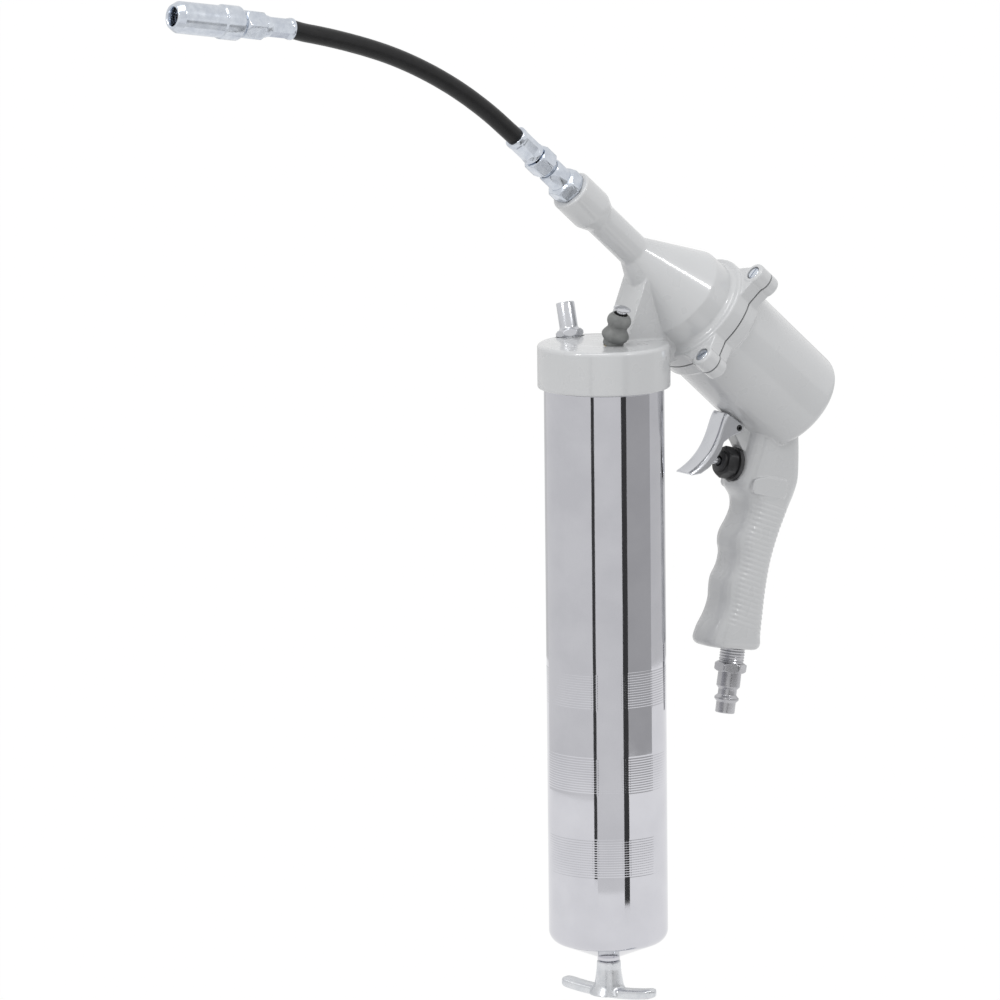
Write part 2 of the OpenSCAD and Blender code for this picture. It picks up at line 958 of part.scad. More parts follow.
module air_plug() {
    color("silver")
        plug_frame()
            difference() {
                union() {
                    translate([0, 0, -10])
                        cylinder(r = 5.97, h = 18);
                    translate([0, 0, 7.5])
                        intersection() {
                            hex_bar(13.4, 4.6);
                            cylinder(r1 = 7.2, r2 = 11.8, h = 4.6);
                        }
                    translate([0, 0, 7])
                        rotate_extrude()
                            polygon([
                                [0, 0], [5.7, 0], [5.7, 12], [4.5, 13.4], [4.5, 16.2], [5.9, 17.6],
                                [5.9, 18.4], [4.7, 19.6], [4.7, 25], [0, 25]
                            ]);
                }
                translate([0, 0, -12])
                    cylinder(r = 3, h = 50);
            }
}

head_casting();
motor_casting();
motor_gasket();
flange_screws();
barrel();
barrel_gasket();
follower_cup();
follower_plate();
follower_spring();
plunger_rod();
rod_nut();
tee_handle();
air_piston();
piston_seal();
piston_nut();
pump_plunger();
pump_seal();
seal_retainer();
return_spring();
outlet_ball();
outlet_spring();
nozzle_adapter();
hose_fitting();
hose_ferrule();
hose();
coupler_ferrule();
coupler_stem();
coupler_body();
coupler_jaws();
coupler_seal();
coupler_spring();
filler_nipple();
filler_ball();
bleeder_body();
bleeder_boot();
bleeder_pin();
bleeder_spring();
trigger();
trigger_pin();
valve_nut();
valve_stem();
stem_seal();
valve_spring();
air_plug();
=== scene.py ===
"""Looks for an air-operated pistol grease gun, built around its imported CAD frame.

Local sizes are millimetres, and every piece is scaled to metres when its mesh is made. +Z runs up
the barrel, -X points to the hose, +X to the pistol handle, and Y = 0 is the mid-plane.
"""
import json
import math

import bmesh
import bpy
import numpy as np
from mathutils import Matrix, Vector


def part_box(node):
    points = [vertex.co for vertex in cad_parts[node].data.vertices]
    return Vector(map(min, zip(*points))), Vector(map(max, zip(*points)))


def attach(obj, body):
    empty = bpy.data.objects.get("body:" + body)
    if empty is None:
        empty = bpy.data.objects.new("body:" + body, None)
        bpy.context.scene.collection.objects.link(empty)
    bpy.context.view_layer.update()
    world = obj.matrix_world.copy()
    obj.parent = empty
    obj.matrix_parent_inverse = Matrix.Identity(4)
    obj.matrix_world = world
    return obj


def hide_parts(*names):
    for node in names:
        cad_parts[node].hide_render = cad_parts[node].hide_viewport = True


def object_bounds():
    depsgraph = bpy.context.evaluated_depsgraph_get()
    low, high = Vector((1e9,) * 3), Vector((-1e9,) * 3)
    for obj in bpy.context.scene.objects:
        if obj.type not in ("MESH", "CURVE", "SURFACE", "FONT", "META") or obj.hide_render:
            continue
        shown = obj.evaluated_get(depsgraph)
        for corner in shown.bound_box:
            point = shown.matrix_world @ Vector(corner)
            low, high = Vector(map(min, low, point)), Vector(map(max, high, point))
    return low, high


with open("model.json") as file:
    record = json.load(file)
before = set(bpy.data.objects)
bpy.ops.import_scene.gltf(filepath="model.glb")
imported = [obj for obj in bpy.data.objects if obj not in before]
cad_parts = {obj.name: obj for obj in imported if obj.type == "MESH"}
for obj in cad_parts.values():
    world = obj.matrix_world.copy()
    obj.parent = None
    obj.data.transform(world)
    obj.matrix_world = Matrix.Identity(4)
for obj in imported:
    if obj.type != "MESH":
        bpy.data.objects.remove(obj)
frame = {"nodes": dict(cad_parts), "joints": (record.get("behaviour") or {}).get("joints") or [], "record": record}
cad_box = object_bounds()

MM = 0.001
TAU = math.tau
JOINTS = {j["name"]: j for j in frame["joints"]}
MOUNTS = {m["name"]: m for m in frame["record"]["mounts"]}
scene = bpy.context.scene


# ---- frames ----

def turned(at, about_x=0.0, about_y=0.0):
    """A local frame, in millimetres, from its origin and its turns in degrees."""
    turn = Matrix.Rotation(math.radians(about_y), 4, "Y") @ Matrix.Rotation(math.radians(about_x), 4, "X")
    return Matrix.Translation(at) @ turn


MOTOR_TILT = 41.7
JOINT_FACE = (58.5, 0.0, 27.1)
COUPLER_RISE = 9.4
HOSE_END = (-173.4, 0.0, 183.4)
PLUG_TILT = 9.3
HANDLE_FOOT = (74.6, 0.0, -134.0)
VALVE_RISE = 16.0
VALVE_FACE = (76.3, 0.0, -45.2)
PIVOT = [x / MM for x in JOINTS["trigger_pull"]["pos_m"]]

HERE = Matrix.Identity(4)
MOTOR = turned(JOINT_FACE, about_y=MOTOR_TILT - 90)
COUPLER = turned(HOSE_END, about_y=COUPLER_RISE - 90)
PLUG = turned(HANDLE_FOOT, about_y=180 + PLUG_TILT)
VALVE = turned(VALVE_FACE, about_y=VALVE_RISE - 90)
BLEEDER = turned((-3.3, -12.1, 22.0), about_x=18, about_y=5)
FILLER = turned((-2.7, 23.6, 21.2), about_x=-14)
ACROSS = turned((PIVOT[0], 0.0, PIVOT[2]), about_x=90)


# ---- shapes ----

def rounded(corners, steps=4):
    """Outline points from (x, y, corner radius): every corner with a radius becomes an arc."""
    out = []
    for i, (x, y, radius) in enumerate(corners):
        here = np.array((x, y), float)
        if radius == 0 or i in (0, len(corners) - 1):
            out.append(tuple(here))
            continue
        back = np.array(corners[i - 1][:2]) - here
        ahead = np.array(corners[i + 1][:2]) - here
        room = min(np.linalg.norm(back), np.linalg.norm(ahead))
        back /= np.linalg.norm(back)
        ahead /= np.linalg.norm(ahead)
        half = math.acos(float(np.clip(back @ ahead, -1, 1))) / 2
        cut = min(radius / math.tan(half), 0.49 * room)
        middle = back + ahead
        centre = here + middle / np.linalg.norm(middle) * (cut / math.cos(half))
        first, last = here + back * cut - centre, here + ahead * cut - centre
        turn = math.atan2(first[0] * last[1] - first[1] * last[0], first @ last)
        for k in range(steps + 1):
            a = turn * k / steps
            out.append((centre[0] + first[0] * math.cos(a) - first[1] * math.sin(a),
                        centre[1] + first[0] * math.sin(a) + first[1] * math.cos(a)))
    return out


def hexagon(across, angle):
    """Radius of a hexagon, measured across its flats, at an angle."""
    sector = (angle + TAU / 12) % (TAU / 6) - TAU / 12
    return across / 2 / np.cos(sector)


def lathe(rows, sides=96, closed=False, dent=None):
    """Revolve rows of (radius, height[, hexagon across flats]) about Z.

    dent(radius, height, angle) reshapes the radii.
    """
    rows = [tuple(row) + (0.0,) * (3 - len(row)) for row in rows]
    angle = np.arange(sides) * TAU / sides
    radius = np.array([[row[0]] * sides for row in rows], float)
    height = np.array([[row[1]] * sides for row in rows], float)
    for i, row in enumerate(rows):
        if row[2] > 0:
            radius[i] = np.minimum(radius[i], hexagon(row[2], angle))
    if dent is not None:
        radius = dent(radius, height, angle[None, :])
    verts = np.stack([radius * np.cos(angle), radius * np.sin(angle), height], -1).reshape(-1, 3)
    count = len(rows)
    faces = []
    for i in range(count if closed else count - 1):
        j = (i + 1) % count
        for k in range(sides):
            n = (k + 1) % sides
            faces.append((i * sides + k, i * sides + n, j * sides + n, j * sides + k))
    if not closed:
        faces.append(tuple(range(sides))[::-1])
        faces.append(tuple((count - 1) * sides + k for k in range(sides)))
    return verts, faces


def hex_rows(across, low, high, chamfer=0.9, steps=4):
    """Lathe rows of a hexagon with both faces chamfered round."""
    corner = across / 2 / math.cos(TAU / 12)
    flat = across / 2 * 0.985
    rise = [(flat + (corner - flat) * k / steps, chamfer * k / steps) for k in range(steps + 1)]
    return ([(r, low + h, across) for r, h in rise]
            + [(r, high - h, across) for r, h in reversed(rise)])


def prism(outline, low, high):
    """A closed slab with an outline in X and Z, from one Y to another."""
    count = len(outline)
    verts = [(x, y, z) for y in (low, high) for x, z in outline]
    faces = [(i, (i + 1) % count, count + (i + 1) % count, count + i) for i in range(count)]
    faces += [tuple(range(count))[::-1], tuple(range(count, 2 * count))]
    return np.array(verts, float), faces


def block(low, high):
    """A box between two corners."""
    (x0, y0, z0), (x1, y1, z1) = low, high
    return prism([(x0, z0), (x1, z0), (x1, z1), (x0, z1)], y0, y1)


def loft(sections):
    """A closed skin through sections that have the same number of points."""
    count = len(sections[0])
    verts = np.array([p for s in sections for p in s], float)
    faces = []
    for i in range(len(sections) - 1):
        for k in range(count):
            n = (k + 1) % count
            faces.append((i * count + k, i * count + n, (i + 1) * count + n, (i + 1) * count + k))
    faces.append(tuple(range(count))[::-1])
    faces.append(tuple((len(sections) - 1) * count + k for k in range(count)))
    return verts, faces


def placed(part, place):
    """The same part, moved into a local frame."""
    verts, faces = part
    m = np.array(place)
    return np.asarray(verts, float) @ m[:3, :3].T + m[:3, 3], faces


# ---- mesh making ----

def make_mesh(name, parts):
    """One mesh, in metres, from parts in millimetres, with clean outward faces."""
    mesh = bpy.data.meshes.new(name)
    verts, faces, start = [], [], 0
    for part_verts, part_faces in parts:
        verts.append(np.asarray(part_verts, float))
        faces += [tuple(start + i for i in face) for face in part_faces]
        start += len(part_verts)
    mesh.from_pydata((np.concatenate(verts) * MM).tolist(), [], faces)
    work = bmesh.new()
    work.from_mesh(mesh)
    bmesh.ops.remove_doubles(work, verts=work.verts, dist=2e-6)
    bmesh.ops.dissolve_degenerate(work, dist=1e-6, edges=work.edges)
    bmesh.ops.recalc_face_normals(work, faces=work.faces)
    work.to_mesh(mesh)
    work.free()
    return mesh


def add_object(name, mesh):
    obj = bpy.data.objects.new(name, mesh)
    scene.collection.objects.link(obj)
    return obj


def apply_modifiers(obj):
    """Replace the object's mesh with what its modifiers make of it."""
    bpy.context.view_layer.update()
    graph = bpy.context.evaluated_depsgraph_get()
    made = bpy.data.meshes.new_from_object(obj.evaluated_get(graph))
    obj.modifiers.clear()
    obj.data = made


def melt(obj, voxel, rounds):
    """Melt an object into one skin and smooth it, which rounds its edges and fills its inner corners."""
    remesh = obj.modifiers.new("melt", "REMESH")
    remesh.mode = "VOXEL"
    remesh.voxel_size = voxel * MM
    smooth = obj.modifiers.new("round", "SMOOTH")
    smooth.factor = 0.5
    smooth.iterations = rounds
    apply_modifiers(obj)


def cast_skin(name, parts, voxel, rounds):
    """One melted skin from closed parts that overlap."""
    obj = add_object(name, make_mesh(name, parts))
    melt(obj, voxel, rounds)
    return obj


def cut(obj, parts):
    """Cut closed parts out of an object, one after another."""
    for part in parts:
        tool = add_object("cutter", make_mesh("cutter", [part]))
        step = obj.modifiers.new("cut", "BOOLEAN")
        step.operation = "DIFFERENCE"
        step.solver = "MANIFOLD"
        step.object = tool
        apply_modifiers(obj)
        bpy.data.objects.remove(tool)


def finish_piece(obj, body, material, nodes, sharp=38):
    """Shade a piece, give it its material and body, and let it stand for its CAD nodes."""
    mesh = obj.data
    mesh.shade_smooth()
    mesh.set_sharp_from_angle(angle=math.radians(sharp))
    mesh.materials.clear()
    mesh.materials.append(material)
    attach(obj, body)
    if nodes:
        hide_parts(*nodes)
    return obj


def piece(name, parts, body, material, nodes, place=HERE, sharp=38):
    """A piece straight from closed parts."""
    obj = add_object(name, make_mesh(name, [placed(part, place) for part in parts]))
    return finish_piece(obj, body, material, nodes, sharp)


# ---- materials ----

def nodes_of(material):
    material.use_nodes = True
    tree = material.node_tree
    return tree, tree.nodes["Principled BSDF"]


def noise(tree, scale, detail=3.0, rough=0.5, stretch=(1, 1, 1)):
    """A noise value over the object's own space, in metres, stretched along its axes."""
    where = tree.nodes.new("ShaderNodeTexCoord")
    mapping = tree.nodes.new("ShaderNodeMapping")
    mapping.inputs["Scale"].default_value = stretch
    tree.links.new(where.outputs["Object"], mapping.inputs["Vector"])
    texture = tree.nodes.new("ShaderNodeTexNoise")
    texture.inputs["Scale"].default_value = scale
    texture.inputs["Detail"].default_value = detail
    texture.inputs["Roughness"].default_value = rough
    tree.links.new(mapping.outputs["Vector"], texture.inputs["Vector"])
    return texture.outputs["Fac"]


def ramp_color(tree, value, low, high, at=(0.35, 0.65)):
    """Turn a value into a colour between two colours."""
    ramp = tree.nodes.new("ShaderNodeValToRGB")
    for element, place, color in zip(ramp.color_ramp.elements, at, (low, high)):
        element.position = place
        element.color = (*color, 1)
    tree.links.new(value, ramp.inputs["Fac"])
    return ramp.outputs["Color"]


def spread(tree, value, low, high):
    """Map a noise value onto a range."""
    reach = tree.nodes.new("ShaderNodeMapRange")
    reach.inputs["From Min"].default_value = 0.3
    reach.inputs["From Max"].default_value = 0.7
    reach.inputs["To Min"].default_value = low
    reach.inputs["To Max"].default_value = high
    tree.links.new(value, reach.inputs["Value"])
    return reach.outputs["Result"]


def bump(tree, shader, layers):
    """Chain bumps of (value, strength, distance in metres) onto a shader."""
    last = None
    for value, strength, distance in layers:
        node = tree.nodes.new("ShaderNodeBump")
        node.inputs["Strength"].default_value = strength
        node.inputs["Distance"].default_value = distance
        tree.links.new(value, node.inputs["Height"])
        if last is not None:
            tree.links.new(last, node.inputs["Normal"])
        last = node.outputs["Normal"]
    tree.links.new(last, shader.inputs["Normal"])


def edge_wear(tree, color, worn, low=0.53, high=0.62):
    """Lighten or darken a colour along convex edges."""
    geometry = tree.nodes.new("ShaderNodeNewGeometry")
    reach = tree.nodes.new("ShaderNodeMapRange")
    reach.inputs["From Min"].default_value = low
    reach.inputs["From Max"].default_value = high
    tree.links.new(geometry.outputs["Pointiness"], reach.inputs["Value"])
    mix = tree.nodes.new("ShaderNodeMix")
    mix.data_type = "RGBA"
    mix.inputs["B"].default_value = (*worn, 1)
    tree.links.new(reach.outputs["Result"], mix.inputs["Factor"])
    tree.links.new(color, mix.inputs["A"])
    return mix.outputs["Result"]


def enamel():
    """Glossy light grey enamel over a die-cast surface, with a faint orange peel."""
    material = bpy.data.materials.new("enamel")
    tree, shader = nodes_of(material)
    tone = ramp_color(tree, noise(tree, 35, 3), (0.508, 0.515, 0.524), (0.520, 0.527, 0.536))
    tree.links.new(tone, shader.inputs["Base Color"])
    tree.links.new(spread(tree, noise(tree, 90, 2), 0.26, 0.31), shader.inputs["Roughness"])
    shader.inputs["Coat Weight"].default_value = 0.9
    shader.inputs["Coat Roughness"].default_value = 0.07
    bump(tree, shader, [(noise(tree, 500, 2), 0.02, 0.0003), (noise(tree, 110, 2), 0.02, 0.0006)])
    return material


def chrome(name, low, high, rough, grain=None, wave=0.0):
    """Bright plating: a slight tint, polishing variation, and fine marks."""
    material = bpy.data.materials.new(name)
    tree, shader = nodes_of(material)
    tree.links.new(ramp_color(tree, noise(tree, 45, 4), low, high), shader.inputs["Base Color"])
    tree.links.new(spread(tree, noise(tree, 160, 4), rough[0], rough[1]), shader.inputs["Roughness"])
    shader.inputs["Metallic"].default_value = 1.0
    layers = [(noise(tree, 1400, 2), 0.008, 0.0001)]
    if wave:
        layers.append((noise(tree, 22, 2), wave, 0.002))
    if grain:
        layers.append((noise(tree, 900, 3, stretch=grain), 0.10, 0.0002))
    bump(tree, shader, layers)
    return material


def zinc():
    """Bright bluish zinc plate, slightly clouded."""
    material = bpy.data.materials.new("zinc_plate")
    tree, shader = nodes_of(material)
    tone = ramp_color(tree, noise(tree, 260, 4, 0.6), (0.58, 0.62, 0.69), (0.70, 0.74, 0.80))
    tree.links.new(tone, shader.inputs["Base Color"])
    tree.links.new(spread(tree, noise(tree, 320, 3), 0.13, 0.24), shader.inputs["Roughness"])
    shader.inputs["Metallic"].default_value = 1.0
    bump(tree, shader, [(noise(tree, 900, 2), 0.05, 0.0001), (noise(tree, 260, 2), 0.10, 0.0002)])
    return material


def satin_cast():
    """Satin zinc die-casting, tumbled, with a soft skin."""
    material = bpy.data.materials.new("cast_satin")
    tree, shader = nodes_of(material)
    tone = ramp_color(tree, noise(tree, 150, 4, 0.6), (0.66, 0.68, 0.71), (0.78, 0.79, 0.81))
    tree.links.new(tone, shader.inputs["Base Color"])
    tree.links.new(spread(tree, noise(tree, 350, 3), 0.24, 0.36), shader.inputs["Roughness"])
    shader.inputs["Metallic"].default_value = 0.95
    bump(tree, shader, [(noise(tree, 900, 2), 0.06, 0.0002), (noise(tree, 160, 3), 0.10, 0.0004)])
    return material


def dark(name, low, high, rough, metallic, fine, worn=None, shine=0.5):
    """Rubber, oxide or other dark skins: colour mottling, uneven gloss and a fine grain."""
    material = bpy.data.materials.new(name)
    tree, shader = nodes_of(material)
    tone = ramp_color(tree, noise(tree, 240, 5, 0.6), low, high)
    if worn:
        tone = edge_wear(tree, tone, worn)
    tree.links.new(tone, shader.inputs["Base Color"])
    tree.links.new(spread(tree, noise(tree, 300, 4), rough[0], rough[1]), shader.inputs["Roughness"])
    shader.inputs["Metallic"].default_value = metallic
    shader.inputs["Specular IOR Level"].default_value = shine
    bump(tree, shader, [(noise(tree, 2500, 2), fine, 0.0002), (noise(tree, 200, 3), fine, 0.0006)])
    return material


MATERIALS = {
    "enamel": enamel(),
    "chrome": chrome("chrome", (0.63, 0.63, 0.67), (0.68, 0.68, 0.72), (0.03, 0.07), wave=0.05),
    "polished_steel": chrome("polished_steel", (0.60, 0.61, 0.64), (0.66, 0.67, 0.70), (0.19, 0.26)),
    "zinc_plate": zinc(),
    "cast_satin": satin_cast(),
    "black_oxide": dark("black_oxide", (0.012, 0.012, 0.013), (0.028, 0.028, 0.030), (0.28, 0.42), 0.2,
                        0.12, worn=(0.07, 0.07, 0.075)),
    "spring_steel": chrome("spring_steel", (0.28, 0.28, 0.30), (0.40, 0.40, 0.42), (0.2, 0.4)),
    "plain_steel": chrome("plain_steel", (0.45, 0.45, 0.47), (0.58, 0.58, 0.60), (0.2, 0.35),
                          grain=(1, 1, 12)),
    "piston_alloy": chrome("piston_alloy", (0.6, 0.6, 0.62), (0.7, 0.7, 0.72), (0.25, 0.4), grain=(1, 1, 10)),
    "black_rubber": dark("black_rubber", (0.006, 0.006, 0.0065), (0.010, 0.010, 0.011), (0.30, 0.40), 0.0,
                         0.06, shine=0.3),
    "grey_rubber": dark("grey_rubber", (0.135, 0.140, 0.138), (0.190, 0.195, 0.192), (0.45, 0.62), 0.0,
                        0.12, worn=(0.24, 0.245, 0.24)),
    "brass": chrome("brass", (0.55, 0.42, 0.18), (0.68, 0.53, 0.26), (0.15, 0.3)),
}
NODE_SLOTS = {s["node"]: s["material_slot"] for s in frame["record"]["subparts"]}
for node_name, node_object in frame["nodes"].items():
    node_object.data.materials.clear()
    node_object.data.materials.append(MATERIALS[NODE_SLOTS[node_name]])


# ---- camera ----

CAMERA_AZIMUTH, CAMERA_ELEVATION, CAMERA_ROLL = -34.5, 10.0, -0.6
CAMERA_DISTANCE = 4.0
CAMERA_TARGET = Vector((-0.04619, 0.0206, -0.05211))
LENS = 304.56


def add_camera():
    a, e = math.radians(CAMERA_AZIMUTH), math.radians(CAMERA_ELEVATION)
    back = Vector((math.sin(a) * math.cos(e), -math.cos(a) * math.cos(e), math.sin(e)))
    data = bpy.data.cameras.new("camera")
    data.lens = LENS
    data.sensor_width = 36
    data.clip_end = 100
    camera = bpy.data.objects.new("camera", data)
    scene.collection.objects.link(camera)
    camera.location = CAMERA_TARGET + back * CAMERA_DISTANCE
    aim = (-back).to_track_quat("-Z", "Y").to_matrix().to_4x4()
    roll = Matrix.Rotation(math.radians(CAMERA_ROLL), 4, "Z")
    camera.rotation_euler = (aim @ roll).to_euler()
    scene.camera = camera


add_camera()


# ---- hose ----

HOSE_D = 8.6
HOSE_START = 145.02
HOSE_ROUTE = [
    (-55, 128), (-62, 133.9), (-70, 140), (-80, 146.9), (-90, 153), (-100, 158.4), (-110, 163.2),
    (-120, 167.4), (-130, 171), (-140, 174.2), (-150, 177.1), (-160, 179.7), (-167, 181.4)
]


def add_hose():
    """Rubber hose between its two ferrules, as one smooth curve."""
    first = MOTOR @ Vector((0, 0, HOSE_START))
    route = [(first.x, first.z), *HOSE_ROUTE, (HOSE_END[0], HOSE_END[2])]
    curve = bpy.data.curves.new("hose", "CURVE")
    curve.dimensions = "3D"
    curve.bevel_depth = HOSE_D / 2 * MM
    curve.bevel_resolution = 12
    curve.resolution_u = 10
    curve.use_fill_caps = True
    spline = curve.splines.new("BEZIER")
    spline.bezier_points.add(len(route) - 1)
    for point, (x, z) in zip(spline.bezier_points, route):
        point.co = (x * MM, 0, z * MM)
        point.handle_left_type = point.handle_right_type = "AUTO"
    curve.materials.append(MATERIALS["black_rubber"])
    hose = add_object("rubber_hose", curve)
    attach(hose, "head")
    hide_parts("hose")
    length = sum(math.dist(p, q) for p, q in zip(route, route[1:])) * MM
    return hose, first * MM, length


hose, hose_exit, hose_length = add_hose()


# ---- head casting ----

CAP_R = 31.5
CAP_H = 22.0
CAP_RIM = 0.3
SOCKET_R = 28.2
SEAT_Z = 12.7
FLANGE_R = 28.8
HEAD_FACE = 1.0         # rear face of the head casting, in the motor frame
MOTOR_FACE = 0.2        # front face of the motor casting
EAR_CIRCLE = 35.5
EAR_ANGLES = (45, 130, -130, -45)
EAR_R = 5.5
WEB_R = 22.0            # where the ear webs start in the flange
WEB_HALF = 13.0
FRONT_EAR = 8.0
REAR_EAR = -5.5
SCREW_SEAT = FRONT_EAR - 2.4
TUBE_R = 7.95
COLLAR_R = 10.4
COLLAR_TOP = 103.0
PILLAR_W = 18.5
OVERCUT = 5.0


def ears(low, high):
    """Four bolt ears as short pillars, each with a web that widens into the flange."""
    parts = []
    for angle in EAR_ANGLES:
        turn = Matrix.Rotation(math.radians(angle), 4, "Z")
        rows = rounded([(0, low, 0), (EAR_R, low, 1.5), (EAR_R, high, 1.0), (0, high, 0)])
        post = placed(lathe(rows, 32), Matrix.Translation((EAR_CIRCLE, 0, 0)))
        web_end = EAR_CIRCLE - 1.5
        web = [(web_end, EAR_R), (web_end, -EAR_R), (WEB_R, -WEB_HALF), (WEB_R, WEB_HALF)]
        verts = [(x, y, z) for z in (low + 0.6, high - 0.3) for x, y in web]
        faces = [(0, 1, 5, 4), (1, 2, 6, 5), (2, 3, 7, 6), (3, 0, 4, 7), (3, 2, 1, 0), (4, 5, 6, 7)]
        parts += [placed(post, turn), placed((np.array(verts, float), faces), turn)]
    return parts


def head_casting():
    """Cap, pillar, pump cone and nose in one casting."""
    cap = lathe(rounded([
        (SOCKET_R, SEAT_Z, 0), (SOCKET_R, CAP_RIM, 0), (CAP_R, CAP_RIM, 0.6), (CAP_R, CAP_H - 1, 1.8),
        (CAP_R - 10.5, CAP_H - 0.1, 6), (CAP_R - 14, CAP_H, 2), (0, CAP_H, 0), (0, SEAT_Z, 0)
    ], 6), 160, closed=True)
    pillar = prism([
        (6.9, CAP_H - 4), (6.9, CAP_H), (10.1, 30), (17.9, 49.5), (21.5, 58.5), (40, 45), (42, 17),
        (35.4, 10.2), (31, 9), (25, 14)
    ], -PILLAR_W / 2, PILLAR_W / 2)
    nose = lathe(rounded([
        (0, -OVERCUT, 0), (FLANGE_R, -OVERCUT, 0), (FLANGE_R, 9.1, 0.9), (26.0, 9.3, 0.6), (24.7, 11, 1.2),
        (24.3, 21.5, 0.8), (TUBE_R, 54.8, 3), (TUBE_R, 81, 5), (COLLAR_R, 87, 5),
        (COLLAR_R, COLLAR_TOP, 0.8), (0, COLLAR_TOP, 0)
    ], 5), 128)
    solid = [cap, pillar, placed(nose, MOTOR)] + [placed(p, MOTOR) for p in ears(-OVERCUT, FRONT_EAR)]
    obj = cast_skin("head_body", solid, 0.42, 3)
    above = FRONT_EAR + 3
    recess = lathe([(0, SCREW_SEAT), (3.5, SCREW_SEAT), (3.5, above), (0, above)], 40)
    cutters = [placed(block((-60, -60, -30), (60, 60, HEAD_FACE)), MOTOR)]
    for angle in EAR_ANGLES:
        turn = Matrix.Rotation(math.radians(angle), 4, "Z") @ Matrix.Translation((EAR_CIRCLE, 0, 0))
        cutters.append(placed(recess, MOTOR @ turn))
    cutters += [
        lathe([(0, -2), (SOCKET_R, -2), (SOCKET_R, SEAT_Z), (20, SEAT_Z + 3.5), (0, SEAT_Z + 3.5)], 160),
        placed(lathe([(0, -8.5), (4.4, -8.5), (4.4, 8), (0, 8)], 40), BLEEDER),
        placed(lathe([(0, -4), (7.2, 0), (7.2, 8), (0, 8)], 48), FILLER),
        placed(lathe([(0, -10), (19.5, -10), (19.5, 16), (12, 16), (12, 34), (6.5, 34), (6.5, 40),
                      (4.05, 40), (4.05, 76), (4.4, 76), (4.4, 88), (6, 88), (6, 110), (0, 110)], 64), MOTOR),
    ]
    cut(obj, cutters)
    return finish_piece(obj, "head", MATERIALS["enamel"], ["head_casting"], sharp=50)


# ---- motor casting with the pistol handle ----

MOTOR_R = 27.0
MOTOR_LEN = 71.0
HANDLE_W = 25.0
HANDLE_FRONT = [
    (84, -22), (80.5, -34), (75.8, -46), (72.9, -54.7), (76.4, -61.2), (76.7, -67), (74.2, -72.4),
    (70.2, -78.2), (69.2, -83), (69.8, -88), (68.2, -94), (64.8, -99.6), (63.8, -105), (63.3, -110),
    (60.6, -116.6), (56.7, -122.4), (54.6, -127), (53.8, -131)
]
HANDLE_BACK = [
    (108, -22), (108.2, -34), (108.2, -44), (107.6, -54), (105.2, -60.8), (102.4, -66), (99.6, -71.6),
    (97, -77), (94.6, -82.6), (92.4, -88.4), (90.6, -94.2), (89.2, -100), (88, -106), (87.1, -111.6),
    (86.3, -117.4), (85.5, -123), (84.8, -129), (84.2, -136)
]
FRONT_ROUND = 10.5
REAR_ROUND = 6.5
FOOT_ROUND = 3.2
RIB_PITCH = 2.5
RIB_SLOPE = math.radians(-21)
RIB_HEIGHT = 0.42
PAD = [(86, -50.5, 0), (98.5, -53.6, 2), (96.6, -62.6, 2), (76.6, -57.6, 3), (78.2, -50.8, 3), (86, -50.5, 0)]


def smooth_line(points, steps):
    """Catmull-Rom curve through a list of points."""
    p = np.array([points[0], *points, points[-1]], float)
    out = []
    for i in range(1, len(p) - 2):
        for k in range(steps):
            t = k / steps
            out.append(0.5 * (2 * p[i] + (p[i + 1] - p[i - 1]) * t
                              + (2 * p[i - 1] - 5 * p[i] + 4 * p[i + 1] - p[i + 2]) * t * t
                              + (3 * p[i] - p[i - 1] - 3 * p[i + 1] + p[i + 2]) * t ** 3))
    out.append(p[-2])
    return out


def grip_section(front, back, inset):
    """A round-cornered section of the handle between a front and a back point, shrunk by an inset."""
    front, back = np.array(front, float), np.array(back, float)
    along = (back - front) / np.linalg.norm(back - front)
    front, back = front + along * inset, back - along * inset
    depth = np.linalg.norm(back - front)
    half = HANDLE_W / 2 - inset
    fr, rr = max(FRONT_ROUND - inset, 0.5), max(REAR_ROUND - inset, 0.5)
    ring = []
    for cx, cy, radius, start in ((depth - rr, half - rr, rr, 0), (fr, half - fr, fr, 90),
                                  (fr, fr - half, fr, 180), (depth - rr, rr - half, rr, 270)):
        for k in range(9):
            a = math.radians(start + 90 * k / 8)
            u, v = cx + radius * math.cos(a), cy + radius * math.sin(a)
            x, z = front + along * u
            ring.append((x, v, z))
    return ring


def handle():
    """Pistol grip with finger waves, lofted down to its rounded foot."""
    front, back = smooth_line(HANDLE_FRONT, 4), smooth_line(HANDLE_BACK, 4)
    foot = np.array((HANDLE_FOOT[0], HANDLE_FOOT[2]))
    down = np.array((-math.sin(math.radians(PLUG_TILT)), -math.cos(math.radians(PLUG_TILT))))
    sections = []
    for f, b in zip(front, back):
        above = -float((0.5 * (f + b) - foot) @ down)
        if above > FOOT_ROUND + 0.8:
            sections.append(grip_section(f, b, 0))
    side = np.array((down[1], -down[0]))
    front_reach = float((np.array((54.0, -130.6)) - foot) @ -side)
    back_reach = float((np.array((84.3, -135.5)) - foot) @ -side)
    for k in range(7):
        a = math.radians(90 * k / 6)
        above, inset = FOOT_ROUND * (1 - math.sin(a)), FOOT_ROUND * (1 - math.cos(a))
        level = foot - down * above
        f = level - side * front_reach
        b = level - side * back_reach
        sections.append(grip_section(f, b, inset))
    return loft(sections)


